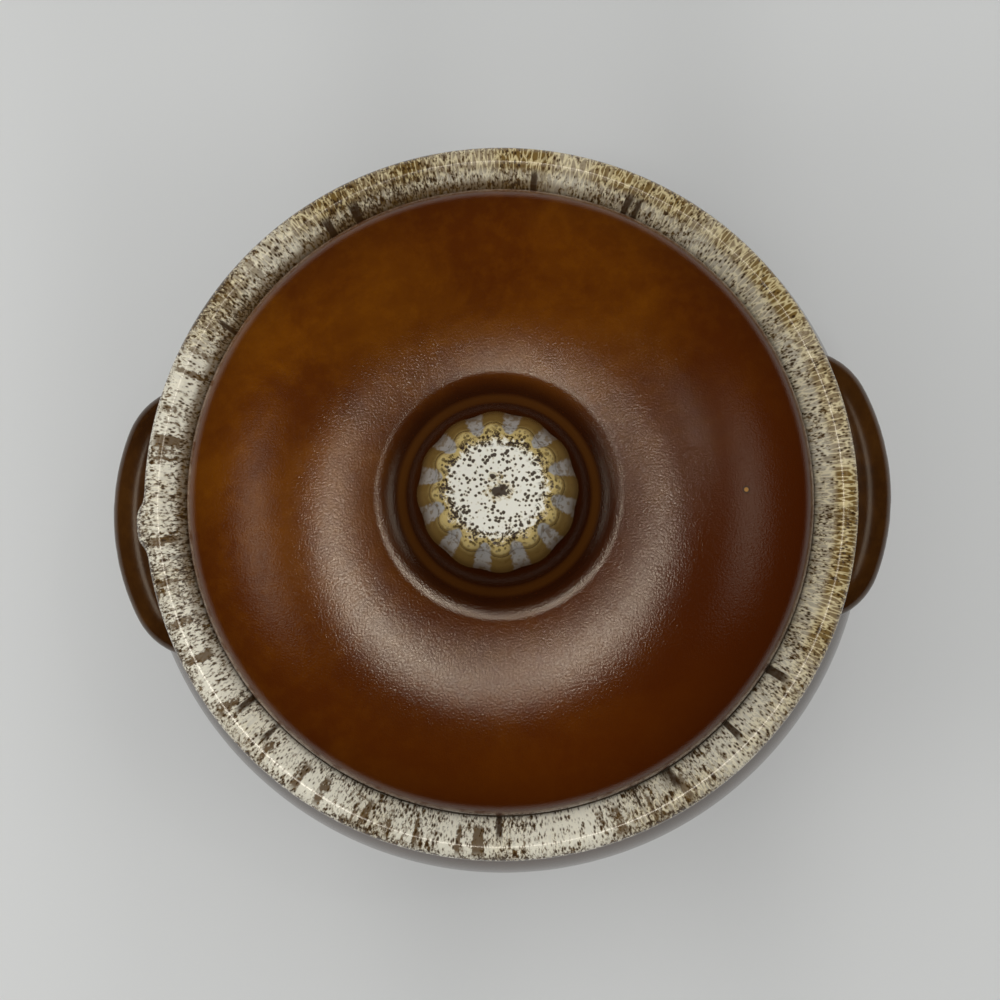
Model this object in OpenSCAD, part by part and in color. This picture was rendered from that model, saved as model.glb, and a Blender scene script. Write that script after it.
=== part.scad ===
// Lidded stoneware bean pot: a round-bellied jar with two lug handles, an ivory drip glaze
// on its lip, and a domed lid with a fluted knob that lifts off its ledge.
// Frame: +Z up, origin at the centre of the foot on the table, handles along X.

/* [Pot] */
// Height of the pot from the table to the top of the lip
pot_h = 116; // [104:1:140]
// Radius of the belly at its widest
belly_r = 106.5; // [100:0.5:120]
// Height of the widest point of the belly
belly_z = 56; // [46:1:66]
// Outer radius of the foot ring
foot_r = 73; // [60:0.5:84]
// Width of the foot ring's standing face
foot_w = 8; // [5:0.5:14]
// Height of the foot ring under the base
foot_h = 4; // [2:0.5:8]
// Thickness of the wall
wall = 6; // [4:0.5:8]
// Thickness of the base
base_t = 7; // [5:0.5:10]

/* [Lip and ledge] */
// Outer radius of the glazed lip
lip_r = 95; // [88:0.5:99]
// Radius of the lip's rolled edge
lip_roll = 4.6; // [3.4:0.1:5.6]
// Width of the lip from its outer edge to the lid recess
lip_w = 11.5; // [10:0.5:14]
// Fall of the lip's top towards the lid
lip_fall = 2.6; // [1:0.1:4]
// How far the lip stands out over the neck
lip_overhang = 3.5; // [2:0.1:5]
// Depth of the neck below the top of the lip
neck_drop = 13; // [11:0.5:16]
// Depth of the lid recess below the top of the lip
recess_d = 8; // [6:0.5:10]
// Width of the ledge that carries the lid
ledge_w = 8.5; // [6:0.5:11]
// Thickness of the ledge at its inner edge
ledge_t = 4; // [3:0.5:6]

/* [Handles] */
// How far each handle's nose stands out from the shoulder
handle_reach = 11; // [8:0.5:16]
// Depth of the handle's top below the top of the lip
handle_drop = 13.5; // [12.5:0.5:20]
// Radius of the handle's rounded nose
handle_nose = 6; // [4:0.5:8]
// Radius of the handle's long edge, seen from above
handle_edge = 64; // [58:0.5:80]
// Radius of the handle's rounded ends, seen from above
handle_end = 36.5; // [35:0.5:42]
// Half the length of the handle's long edge between the two ends
handle_half_l = 32; // [26:0.5:33]

/* [Lid] */
// Gap between the lid's edge and its recess
lid_gap = 1.3; // [0.8:0.1:2]
// Height of the lid's upright edge
lid_edge_h = 9; // [6:0.5:12]
// Radius of the lid's shoulder
lid_shoulder = 9; // [6:0.5:12]
// Tilt at which the shoulder runs into the dome, in degrees
dome_tilt = 25; // [18:1:32]
// Radius of the ring where the dome is highest
crest_r = 43; // [40:0.5:48]
// Depth of the dip inside that ring
dip_d = 1.2; // [0.6:0.1:2.4]
// Radius of the bottom of the dip
dip_r = 31.5; // [29:0.5:35]
// Radius of the cove that rises to the knob
cove = 14; // [12:0.5:16]
// Thickness of the lid
lid_t = 6; // [4.5:0.5:8]
// Length of the locating flange under the lid
flange_l = 7; // [4:0.5:10]
// Thickness of the locating flange
flange_t = 4.5; // [3:0.5:6]
// Gap between the flange and the ledge
flange_gap = 1.5; // [1:0.1:3]

/* [Knob] */
// Radius of the knob's skirt
skirt_r = 19.8; // [18:0.1:23]
// Height of the knob above its seat on the lid
knob_h = 18; // [15:0.5:22]
// Radius of the knob's flat top
knob_top_r = 11.5; // [9.5:0.1:13]
// Radius of the shoulder round the flat top
knob_shoulder = 4.6; // [3.5:0.1:5.5]
// Number of flutes
flutes = 12; // [8:1:16]
// Radius of each flute
flute_r = 3.4; // [2.6:0.1:4]
// Depth of each flute at the skirt
flute_d = 1.3; // [0.8:0.1:2]

/* [Drip glaze] */
// Thickness of the ivory glaze
glaze_t = 0.7; // [0.4:0.1:1]
// Depth of the glaze band below the top of the lip
band_d = 9.5; // [8.6:0.1:10.8]
// Number of drips below the band
drips = 36; // [20:1:44]
// Length of the longest drip below the band
drip_l = 11.5; // [6:0.5:20]
// Width of a drip
drip_w = 6; // [4:0.5:8]
// Height of the knob that the ivory glaze leaves brown
knob_brown_h = 5; // [4:0.5:8]

/* [Hidden] */
$fn = 96;

brown = [0.29, 0.13, 0.03];
ivory = [0.86, 0.82, 0.74];

// Steps in a short arc, in a long one and in the end of a drip
short_arc = 8;
long_arc = 14;
tongue_arc = 5;
// Bevel on the bottom edges of the foot ring, and the small round under the lid's edge
foot_bevel = 1;
edge_round = 2;
// How far a cutting shape runs past what it cuts
past = 1;
// How far the run of glaze on the left handle stands out past the lip
run_out = 3;

// Pot, lip and ledge
recess_r = lip_r - lip_w;
ledge_z = pot_h - recess_d;
throat_r = recess_r - ledge_w;
neck_r = lip_r - lip_overhang;
neck_z = pot_h - neck_drop;
roll_c = [lip_r - lip_roll, pot_h - lip_roll];
// Angle on the roll, below level, at which the neck starts
roll_under = -60;
base_z = foot_h + base_t;
// The shoulder is an arc that is upright at the belly and runs through the neck
shoulder_in = belly_r - neck_r;
shoulder_up = neck_z - belly_z;
shoulder_arc = (shoulder_in * shoulder_in + shoulder_up * shoulder_up) / (2 * shoulder_in);
shoulder_c = [belly_r - shoulder_arc, belly_z];
neck_turn = asin(shoulder_up / shoulder_arc);
// Height below the ledge at which its underside has run out into the wall
ledge_taper = 9;
inner_turn = asin((ledge_z - ledge_taper - belly_z) / (shoulder_arc - wall));

// Handles
handle_top_z = pot_h - handle_drop;
// Fall of the handle's top from the neck to the nose
handle_fall = 1.5;
// Angle on the nose at which the handle's top runs into it
handle_brow = 85;
handle_nose_z = handle_top_z - handle_fall - handle_nose;
// Radius of the shoulder at the height of the nose
handle_root_r = shoulder_c[0] + sqrt(pow(shoulder_arc, 2) - pow(handle_nose_z - belly_z, 2));
// Distances from the pot's axis of the centres that the long edge and the rounded ends turn about
handle_edge_x = handle_root_r + handle_reach - handle_edge;
handle_end_x = handle_edge_x + sqrt(pow(handle_edge, 2) - pow(handle_half_l, 2))
    - sqrt(pow(handle_end, 2) - pow(handle_half_l, 2));
// How much higher and lower than the handle the round that shapes its ends is
end_extra = 3;
// Half of the angle that a handle takes up at the neck
handle_turn = acos(
    (neck_r * neck_r + handle_end_x * handle_end_x - handle_end * handle_end)
    / (2 * neck_r * handle_end_x)
);

// Lid, from its seat up
lid_r = recess_r - lid_gap;
flange_r = throat_r - flange_gap;
flange_in_r = flange_r - flange_t;
shoulder_z = ledge_z + lid_edge_h;
brow = [
    lid_r - lid_shoulder + lid_shoulder * sin(dome_tilt),
    shoulder_z + lid_shoulder * cos(dome_tilt)
];
dome_r = (brow[0] - crest_r) / sin(dome_tilt);
crest_z = brow[1] + dome_r * (1 - cos(dome_tilt));
dome_c = [crest_r, crest_z - dome_r];
dip_z = crest_z - dip_d;
cove_c = [dip_r, dip_z + cove];
// Angle that the cove has turned through where the knob sits on it
cove_end = 75;
seat_r = dip_r - cove * sin(cove_end);
seat_z = dip_z + cove * (1 - cos(cove_end));
// Slope of the lid's inside corner, and the dome's tilt where that corner starts
corner_w = 3;
corner_h = 7;
under_tilt = asin((flange_in_r - corner_w - crest_r) / (dome_r - lid_t));

// Knob, from its seat up
knob_top_z = seat_z + knob_h;
// Height of the stem, height of the skirt's lower edge and size of the skirt's round
stem_h = 1.5;
skirt_h = 3.5;
skirt_round = 1.2;
// Depth of the dimple in the knob's top
dimple_d = 0.6;
glaze_line_z = seat_z + knob_brown_h;

// Share of the full drip length that a drip has, from 0.25 to 1, uneven from one to the next
function drip_share(i) = 0.25 + 0.75 * pow(abs(sin(i * 79 + 23)), 1.6);
// Place of a drip round the pot, a little off an even spacing
function drip_turn(i) = (i + 0.3 * sin(i * 137)) * 360 / drips;

function arc(c, r, from, to, steps) =
    [for (i = [0:steps]) let (a = from + (to - from) * i / steps) c + r * [cos(a), sin(a)]];
function oval_arc(c, a, b, from, to, steps) =
    [for (i = [0:steps]) let (t = from + (to - from) * i / steps) c + [a * cos(t), b * sin(t)]];

// Outside of the pot from the foot up to the lip, grown outwards by a skin
function belly_side(grow) = concat(
    oval_arc([foot_r, belly_z], belly_r - foot_r + grow, belly_z - foot_h + grow, -90, 0, long_arc),
    shoulder_side(grow)
);
function shoulder_side(grow) = arc(shoulder_c, shoulder_arc + grow, 0, neck_turn, short_arc);
// Lip from the neck over its roll to the lid recess; shy is how far it lies under the glaze
function lip_side(shy) = concat(
    arc(roll_c, lip_roll - shy, roll_under, 90, short_arc),
    [[recess_r, pot_h - lip_fall - shy]]
);
foot_side = [
    [foot_r - foot_w + foot_bevel, 0],
    [foot_r - foot_bevel, 0],
    [foot_r, foot_bevel]
];

// The pot as if it were solid, which is what handles and glaze are fitted to
module pot_blank() {
    rotate_extrude()
        polygon(concat(
            [[0, foot_h], [foot_r - foot_w, foot_h], [foot_r - foot_w, foot_bevel]],
            foot_side, belly_side(0), lip_side(glaze_t),
            [[0, pot_h - lip_fall - glaze_t]]
        ));
}

// Room inside the pot: lid recess, ledge, inner wall and floor
module pot_room() {
    low_a = belly_r - foot_r - wall;
    rotate_extrude()
        polygon(concat(
            [[0, base_z]],
            oval_arc([foot_r, belly_z], low_a, belly_z - base_z, -90, 0, long_arc),
            arc(shoulder_c, shoulder_arc - wall, 0, inner_turn, short_arc),
            [
                [throat_r, ledge_z - ledge_t],
                [throat_r, ledge_z],
                [recess_r, ledge_z],
                [recess_r, pot_h],
                [0, pot_h]
            ]
        ));
}

module pot_body() {
    color(brown)
        difference() {
            pot_blank();
            pot_room();
        }
}

// Half section of a round with a bull-nosed edge: its reach, the nose, and the height of its top
function nosed(reach, nose, nose_z, top_z) = concat(
    [[0, top_z]],
    arc([reach - nose, nose_z], nose, handle_brow, -90, short_arc),
    [[0, nose_z - nose]]
);

// A lug: what two nosed rounds have in common, one for its long edge and one for its ends
module lug() {
    end_nose = handle_nose + end_extra;
    intersection() {
        translate([handle_edge_x, 0, 0])
            rotate_extrude()
                polygon(nosed(handle_edge, handle_nose, handle_nose_z, handle_top_z));
        translate([handle_end_x, 0, 0])
            rotate_extrude()
                polygon(nosed(handle_end, end_nose, handle_nose_z, handle_nose_z + end_nose));
    }
}

module handle(side) {
    color(brown)
        difference() {
            rotate([0, 0, side])
                lug();
            pot_blank();
        }
}

module left_handle() {
    handle(180);
}

module right_handle() {
    handle(0);
}

// Skin of glaze over the lip and down the shoulder
module glaze_skin() {
    rotate_extrude()
        polygon(concat(
            [[recess_r, belly_z]],
            shoulder_side(glaze_t),
            lip_side(0)
        ));
}

// One drip: a tongue with a round end, seen from outside the pot
module drip(turn, length) {
    top = length + band_d - lip_roll;
    rotate([0, 0, turn])
        translate([recess_r, 0, pot_h - band_d - length])
            rotate([90, 0, 90])
                linear_extrude(belly_r + past - recess_r)
                    polygon(concat(
                        [[drip_w / 2, top], [-drip_w / 2, top]],
                        arc([0, 0], drip_w / 2, 180, 360, tongue_arc)
                    ));
}

// Glaze that has run from the lip on to the top of the left handle
module handle_run() {
    run_r = handle_drop - band_d + past;
    translate([run_r - run_out - lip_r, 0, handle_top_z + run_r / 2])
        sphere(r = run_r);
}

module rim_glaze() {
    clear_angle = handle_turn + asin(drip_w / 2 / neck_r);
    color(ivory)
        difference() {
            union() {
                intersection() {
                    glaze_skin();
                    union() {
                        translate([0, 0, pot_h - band_d])
                            cylinder(r = belly_r, h = band_d + past);
                        for (i = [0:drips - 1])
                            if (abs(sin(drip_turn(i))) > sin(clear_angle))
                                drip(drip_turn(i), drip_l * drip_share(i));
                    }
                }
                handle_run();
            }
            pot_blank();
            rotate([0, 0, 180])
                lug();
        }
}

module lid() {
    outside = concat(
        [[flange_r, ledge_z]],
        arc([lid_r - edge_round, ledge_z + edge_round], edge_round, -90, 0, short_arc),
        arc([lid_r - lid_shoulder, shoulder_z], lid_shoulder, 0, 90 - dome_tilt, short_arc),
        arc(dome_c, dome_r, 90 - dome_tilt, 90, long_arc),
        [for (i = [1:short_arc])
            [
                crest_r + (dip_r - crest_r) * i / short_arc,
                crest_z - dip_d * (1 - cos(180 * i / short_arc)) / 2
            ]
        ],
        arc(cove_c, cove, 270, 270 - cove_end, long_arc),
        [[0, seat_z]]
    );
    inside = concat(
        [[0, crest_z - lid_t - dip_d]],
        arc(dome_c, dome_r - lid_t, 90, 90 - under_tilt, short_arc),
        [
            [flange_in_r, dome_c[1] + (dome_r - lid_t) * cos(under_tilt) - corner_h],
            [flange_in_r, ledge_z - flange_l],
            [flange_r, ledge_z - flange_l]
        ]
    );
    color(brown)
        rotate_extrude()
            polygon(concat(outside, inside));
}

// Fluted bell of the knob; shy is how far it lies under the glaze
module bell(shy) {
    top_z = knob_top_z - shy;
    side_r = knob_top_r + knob_shoulder;
    lean = atan((skirt_r - side_r) / (knob_h - skirt_h - knob_shoulder));
    difference() {
        rotate_extrude()
            polygon(concat(
                [[0, seat_z], [seat_r, seat_z], [seat_r, seat_z + stem_h]],
                arc([skirt_r - skirt_round, seat_z + skirt_h + skirt_round], skirt_round - shy,
                    -90, 0, short_arc),
                arc([knob_top_r, knob_top_z - knob_shoulder], knob_shoulder - shy, 0, 90, short_arc),
                [[0, top_z - dimple_d]]
            ));
        for (i = [0:flutes - 1])
            rotate([0, 0, (i + 0.5) * 360 / flutes])
                translate([skirt_r - flute_d + flute_r, 0, seat_z + skirt_h])
                    rotate([0, -lean, 0])
                        translate([0, 0, -skirt_h])
                            cylinder(r = flute_r + shy, h = knob_h + skirt_h);
    }
}

module knob() {
    color(brown)
        bell(glaze_t);
}

module knob_glaze() {
    color(ivory)
        difference() {
            intersection() {
                bell(0);
                translate([0, 0, glaze_line_z])
                    cylinder(r = skirt_r + past, h = knob_h);
            }
            bell(glaze_t);
        }
}

pot_body();
left_handle();
right_handle();
rim_glaze();
lid();
knob();
knob_glaze();
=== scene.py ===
"""Looks of a lidded stoneware bean pot: brown satin glaze with an ivory drip glaze on lip and knob."""

import logging
import math
from dataclasses import dataclass
from enum import Enum
from typing import Any, NamedTuple, Sequence

import bpy
import numpy as np
from mathutils import Matrix, Vector


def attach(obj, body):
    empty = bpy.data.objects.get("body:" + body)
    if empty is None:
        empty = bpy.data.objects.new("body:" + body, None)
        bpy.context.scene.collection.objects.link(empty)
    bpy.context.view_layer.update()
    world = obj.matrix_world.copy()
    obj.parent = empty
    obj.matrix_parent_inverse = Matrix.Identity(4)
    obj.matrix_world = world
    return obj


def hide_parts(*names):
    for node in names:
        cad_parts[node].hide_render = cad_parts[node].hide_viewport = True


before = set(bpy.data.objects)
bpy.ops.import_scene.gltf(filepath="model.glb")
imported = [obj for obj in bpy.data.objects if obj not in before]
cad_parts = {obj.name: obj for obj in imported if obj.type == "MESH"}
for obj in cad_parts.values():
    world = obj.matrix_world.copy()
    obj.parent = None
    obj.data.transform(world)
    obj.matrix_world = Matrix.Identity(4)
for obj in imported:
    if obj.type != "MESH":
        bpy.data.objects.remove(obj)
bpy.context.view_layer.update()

LOG = logging.getLogger("bean_pot")

# Metres in a millimetre: sizes of pieces are in millimetres, and places that a glaze reads are in metres
MM = 0.001
# Points closer than this are merged, in metres
MERGE = 2e-6
# Edges sharper than these stay sharp on a turned piece and on a softer one, in degrees
TURNED_EDGE = 50.0
SOFT_EDGE = 80.0
# Directions on an outline and parts of a turn, in degrees
LEVEL = 0.0
UP = 90.0
DOWN = -90.0
HALF_TURN = 180.0
FULL_TURN = 360.0
# Turns a place about the upright axis to the other side of the pot
OTHER_SIDE = (-1.0, -1.0, 1.0)
# Values that most of a soft uneven pattern lies between
UNEVEN = (0.3, 0.7)
# Sockets of Blender's mix node that carry colours
FIRST_COLOUR = 6
SECOND_COLOUR = 7
MIXED_COLOUR = 2
# How strongly fired glass bends light
GLASS = 1.5

Point = tuple[float, float]
Triple = tuple[float, float, float]
Colour = tuple[float, float, float]
Socket = bpy.types.NodeSocket
Piece = bpy.types.Object


class Body(Enum):
    """The two loose pieces of pottery that the others ride on."""

    POT = "pot"
    LID = "lid"


class Slot(Enum):
    """Finishes named in the record."""

    BROWN = "brown_glaze"
    IVORY = "ivory_glaze"


class Combine(Enum):
    """Ways to combine one piece with another."""

    JOIN = "UNION"
    COMMON = "INTERSECT"
    CUT = "DIFFERENCE"


class Ramp(NamedTuple):
    """A smooth step: the values that it lies between, and what it gives at each of them."""

    low: float
    high: float
    start: float = 0.0
    end: float = 1.0


class Grain(NamedTuple):
    """A scattered pattern.

    It has a count in a metre, finer layers with a weight, a warp, and a scale along Z that draws it out.
    """

    scale: float
    layers: float = 4.0
    weight: float = 0.55
    warp: float = 0.0
    draw: float = 1.0


# Outlines and mesh work


def arc(centre: Point, radius: float, start: float, end: float, steps: int) -> list[Point]:
    """Points along part of a circle.

    Args:
        centre: Centre of the circle.
        radius: Radius of the circle.
        start: Angle of the first point, in degrees.
        end: Angle of the last point, in degrees.
        steps: Number of steps between them.

    Returns:
        The points, from first to last.
    """
    return oval(centre, radius, radius, start, end, steps)


def oval(centre: Point, across: float, up: float, start: float, end: float, steps: int) -> list[Point]:
    """Points along part of an upright ellipse.

    Args:
        centre: Centre of the ellipse.
        across: Half of its width.
        up: Half of its height.
        start: Angle of the first point, in degrees.
        end: Angle of the last point, in degrees.
        steps: Number of steps between them.

    Returns:
        The points, from first to last.
    """
    turns = [math.radians(start + (end - start) * i / steps) for i in range(steps + 1)]
    return [(centre[0] + across * math.cos(t), centre[1] + up * math.sin(t)) for t in turns]


def straight(start: Point, end: Point, steps: int) -> list[Point]:
    """Evenly spaced points after the first of a straight line.

    Args:
        start: Where the line starts.
        end: Where the line ends.
        steps: Number of points to give.

    Returns:
        The points, the last of which is the end.
    """
    return [(start[0] + (end[0] - start[0]) * s, start[1] + (end[1] - start[1]) * s) for s in shares(steps)]


def shares(steps: int) -> list[float]:
    """Gives even shares of one, from the first step to the whole."""
    return [i / steps for i in range(1, steps + 1)]


def turned(name: str, outline: Sequence[Point], steps: int) -> Piece:
    """Turns an outline about the upright axis, as on a potter's wheel.

    Args:
        name: Name of the new piece.
        outline: Points as distance from the axis and height, in millimetres.
        steps: Number of steps round the axis.

    Returns:
        The turned piece, with its place in its mesh.
    """
    bpy.ops.object.select_all(action="DESELECT")
    across, up = outline[0]
    bpy.ops.mesh.primitive_plane_add(size=MM, location=(across * MM, 0.0, up * MM))
    piece = bpy.context.object
    piece.name = piece.data.name = name
    bpy.ops.object.transform_apply(location=True, rotation=True, scale=True)
    bpy.ops.object.mode_set(mode="EDIT")
    bpy.ops.mesh.select_all(action="SELECT")
    bpy.ops.mesh.merge(type="CENTER")
    for here, there in zip(outline, outline[1:]):
        step = ((there[0] - here[0]) * MM, 0.0, (there[1] - here[1]) * MM)
        bpy.ops.mesh.extrude_vertices_move(TRANSFORM_OT_translate={"value": step})
    bpy.ops.mesh.select_all(action="SELECT")
    bpy.ops.mesh.spin(steps=steps, angle=math.radians(FULL_TURN), center=(0, 0, 0), axis=(0, 0, 1))
    bpy.ops.mesh.select_all(action="SELECT")
    bpy.ops.mesh.remove_doubles(threshold=MERGE)
    bpy.ops.mesh.normals_make_consistent(inside=False)
    bpy.ops.object.mode_set(mode="OBJECT")
    return piece


def choose(piece: Piece) -> None:
    """Makes a piece the only one that is selected.

    Args:
        piece: Piece to select.
    """
    bpy.ops.object.select_all(action="DESELECT")
    piece.select_set(True)
    bpy.context.view_layer.objects.active = piece


def smooth(piece: Piece, angle: float = TURNED_EDGE) -> None:
    """Shades a piece smooth, apart from edges sharper than an angle in degrees."""
    choose(piece)
    bpy.ops.object.shade_smooth_by_angle(angle=math.radians(angle))


def corners(piece: Piece) -> np.ndarray:
    """Reads the places of a piece's vertices.

    Args:
        piece: Piece to read.

    Returns:
        The places in millimetres, one row each.
    """
    flat = np.empty(len(piece.data.vertices) * 3)
    piece.data.vertices.foreach_get("co", flat)
    return flat.reshape(-1, 3) / MM


def reshape(piece: Piece, places: np.ndarray) -> None:
    """Moves a piece's vertices to new places, in millimetres, one row each."""
    piece.data.vertices.foreach_set("co", (places * MM).ravel())
    piece.data.update()


def mark(piece: Piece, name: str, values: np.ndarray) -> None:
    """Writes a value per vertex for the piece's material to read.

    Args:
        piece: Piece to write on.
        name: Name that the material asks for.
        values: One number, or one row of three numbers, per vertex.
    """
    kind, field = ("FLOAT", "value") if values.ndim == 1 else ("FLOAT_VECTOR", "vector")
    layer = piece.data.attributes.new(name, kind, "POINT")
    layer.data.foreach_set(field, np.ascontiguousarray(values, dtype=np.float32).ravel())


def apply(piece: Piece, kind: str, **settings: Any) -> None:
    """Adds a modifier to a piece and applies it.

    Args:
        piece: Piece to change.
        kind: Blender's name for the kind of modifier.
        settings: Values to set on it.
    """
    choose(piece)
    step = piece.modifiers.new(kind.lower(), kind)
    for name, value in settings.items():
        setattr(step, name, value)
    bpy.ops.object.modifier_apply(modifier=step.name)


def combine(main: Piece, other: Piece, how: Combine) -> None:
    """Combines one piece with another, which is used up."""
    apply(main, "BOOLEAN", object=other, operation=how.value, solver="EXACT")
    bpy.data.objects.remove(other)


def ease(share: np.ndarray) -> np.ndarray:
    """Turns a share from 0 to 1 into a smooth step, held at both ends."""
    held = np.clip(share, 0.0, 1.0)
    return held * held * (3.0 - 2.0 * held)


def hump(value: np.ndarray, power: int = 2) -> np.ndarray:
    """Gives a smooth hump that is 1 at nought and near 0 from two on, to either side."""
    return np.exp(-(value**power))


def swing(turn: Any) -> Any:
    """Gives the sine of an angle, or of each of many, in degrees."""
    return np.sin(np.radians(turn))


def turned_from(turn: np.ndarray, middle: float) -> np.ndarray:
    """Gives how far each angle lies from another, the short way round, in degrees."""
    return (turn - middle + HALF_TURN) % FULL_TURN - HALF_TURN


def settle(piece: Piece, body: Body, slot: Slot, *nodes: str) -> None:
    """Attaches a finished piece to the body that it moves with, and hides the CAD nodes that it stands for.

    Args:
        piece: The finished piece.
        body: Body that it moves with.
        slot: Finish in the record; not used.
        nodes: CAD nodes that it stands for.
    """
    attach(piece, body.value)
    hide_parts(*nodes)
    LOG.info("%s: %d faces, for %s", piece.name, len(piece.data.polygons), ", ".join(nodes))


# Glazes


class Nodes:
    """Node tree that is put together a node at a time."""

    def __init__(self, tree: bpy.types.NodeTree) -> None:
        """Takes up a tree."""
        self.tree = tree

    def put(self, kind: str, inputs: dict[str | int, Any] | None = None, **settings: Any) -> bpy.types.Node:
        """Adds a node.

        Args:
            kind: Blender's type name for the node.
            inputs: Value or socket for each named or numbered input.
            settings: Values to set on the node itself.

        Returns:
            The new node.
        """
        node = self.tree.nodes.new(kind)
        for name, value in settings.items():
            setattr(node, name, value)
        for key, value in (inputs or {}).items():
            self.feed(node.inputs[key], value)
        return node

    def feed(self, socket: Socket, value: Any) -> None:
        """Feeds an input.

        Args:
            socket: The input.
            value: A socket to link to it, or a plain value to set it to.
        """
        if isinstance(value, Socket):
            self.tree.links.new(value, socket)
        else:
            socket.default_value = value

    def towards(self, place: Socket, way: Triple) -> Socket:
        """Gives how far a place lies towards a side."""
        return self.put("ShaderNodeVectorMath", {0: place, 1: way}, operation="DOT_PRODUCT").outputs["Value"]


class Recipe(Nodes):
    """Node tree of one glaze."""

    def __init__(self, name: str) -> None:
        """Starts a material with a surface shader.

        Args:
            name: Name of the material.
        """
        self.material = bpy.data.materials.new(name)
        self.material.use_nodes = True
        super().__init__(self.material.node_tree)
        self.surface = self.tree.nodes["Principled BSDF"]

    def finish(self, inputs: dict[str, Any]) -> bpy.types.Material:
        """Feeds the surface shader.

        Args:
            inputs: Value or socket for each of its named inputs.

        Returns:
            The finished material.
        """
        for name, value in inputs.items():
            self.feed(self.surface.inputs[name], value)
        return self.material

    def place(self) -> Socket:
        """Gives the place on the piece, in metres."""
        return self.put("ShaderNodeTexCoord").outputs["Object"]

    def read(self, name: str, output: str = "Fac") -> Socket:
        """Gives a value written on the piece."""
        return self.put("ShaderNodeAttribute", attribute_name=name).outputs[output]

    def axis(self, place: Socket, letter: str) -> Socket:
        """Gives how far a place lies along one axis."""
        return self.put("ShaderNodeSeparateXYZ", {"Vector": place}).outputs[letter]

    def moved(self, place: Socket, by: Triple) -> Socket:
        """Gives a place moved by a step."""
        return self.put("ShaderNodeVectorMath", {0: place, 1: by}, operation="ADD").outputs["Vector"]

    def stretched(self, place: Socket, scale: Triple) -> Socket:
        """Gives a place scaled by a different amount along each axis."""
        return self.put("ShaderNodeMapping", {"Vector": place, "Scale": scale}).outputs["Vector"]

    def drawn(self, place: Socket, grain: Grain) -> Socket:
        """Gives a place scaled along Z as a pattern is drawn out."""
        return self.stretched(place, (1.0, 1.0, grain.draw))

    def from_axis(self, place: Socket) -> Socket:
        """Gives the distance of a place from the upright axis."""
        flat = self.stretched(place, (1.0, 1.0, 0.0))
        return self.put("ShaderNodeVectorMath", {0: flat}, operation="LENGTH").outputs["Value"]

    def noise(self, place: Socket, grain: Grain) -> Socket:
        """Gives soft uneven values round a half.

        Args:
            place: Place to read at.
            grain: The pattern.

        Returns:
            The value.
        """
        node = self.put("ShaderNodeTexNoise", {
            "Vector": self.drawn(place, grain),
            "Scale": grain.scale,
            "Detail": grain.layers,
            "Roughness": grain.weight,
            "Distortion": grain.warp,
        })
        return node.outputs["Fac"]

    def cells(self, place: Socket, grain: Grain, feature: str) -> Socket:
        """Gives a distance in a pattern of many scattered cells.

        Args:
            place: Place to read at.
            grain: The pattern.
            feature: Blender's name for what the distance is to.

        Returns:
            The distance, as a share of a cell.
        """
        where: dict[str | int, Any] = {"Vector": self.drawn(place, grain), "Scale": grain.scale}
        return self.put("ShaderNodeTexVoronoi", where, feature=feature).outputs["Distance"]

    def spots(self, place: Socket, grain: Grain) -> Socket:
        """Gives the distance to the nearest of many scattered points."""
        return self.cells(place, grain, "F1")

    def walls(self, place: Socket, grain: Grain) -> Socket:
        """Gives the distance to the nearest wall between many cells."""
        return self.cells(place, grain, "DISTANCE_TO_EDGE")

    def ramp(self, value: Socket, ramp: Ramp) -> Socket:
        """Gives a smooth step as a value grows.

        Args:
            value: The value.
            ramp: The step.

        Returns:
            The stepped value.
        """
        node = self.put("ShaderNodeMapRange", {
            "Value": value,
            "From Min": ramp.low,
            "From Max": ramp.high,
            "To Min": ramp.start,
            "To Max": ramp.end,
        }, interpolation_type="SMOOTHSTEP")
        return node.outputs["Result"]

    def ragged(self, value: Socket, most: float) -> Socket:
        """Gives a shift either way, of a given most, from a soft uneven value."""
        return self.ramp(value, Ramp(*UNEVEN, -most, most))

    def band(self, value: Socket, rise: Ramp, fall: Ramp) -> Socket:
        """Gives a share that rises and falls again as a value grows."""
        return self.times(self.ramp(value, rise), self.ramp(value, fall))

    def work_out(self, operation: str, first: Any, second: Any, held: bool = True) -> Socket:
        """Does a sum on two values.

        Args:
            operation: Blender's name for the sum.
            first: First value.
            second: Second value.
            held: Whether the result is held between 0 and 1.

        Returns:
            The result.
        """
        node = self.put("ShaderNodeMath", {0: first, 1: second}, operation=operation, use_clamp=held)
        return node.outputs["Value"]

    def times(self, first: Any, second: Any) -> Socket:
        """Gives the product of two shares, held between 0 and 1."""
        return self.work_out("MULTIPLY", first, second)

    def plus(self, first: Any, second: Any) -> Socket:
        """Gives the sum of two shares, held between 0 and 1."""
        return self.work_out("ADD", first, second)

    def shifted(self, value: Any, by: Any) -> Socket:
        """Gives a value moved up or down, with nothing held."""
        return self.work_out("ADD", value, by, held=False)

    def blend(self, share: Any, first: Any, second: Any) -> Socket:
        """Gives a colour between two others.

        Args:
            share: How much of the second colour there is, from 0 to 1.
            first: First colour.
            second: Second colour.

        Returns:
            The colour.
        """
        node = self.put("ShaderNodeMix", {0: share}, data_type="RGBA")
        for number, value in ((FIRST_COLOUR, first), (SECOND_COLOUR, second)):
            colour = value if isinstance(value, Socket) else (*value, 1.0)
            self.feed(node.inputs[number], colour)
        return node.outputs[MIXED_COLOUR]

    def bump(self, height: Socket, depth: float) -> Socket:
        """Gives a surface direction roughened by a height, to a depth in millimetres."""
        return self.put("ShaderNodeBump", {"Height": height, "Distance": depth * MM}).outputs["Normal"]


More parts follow.
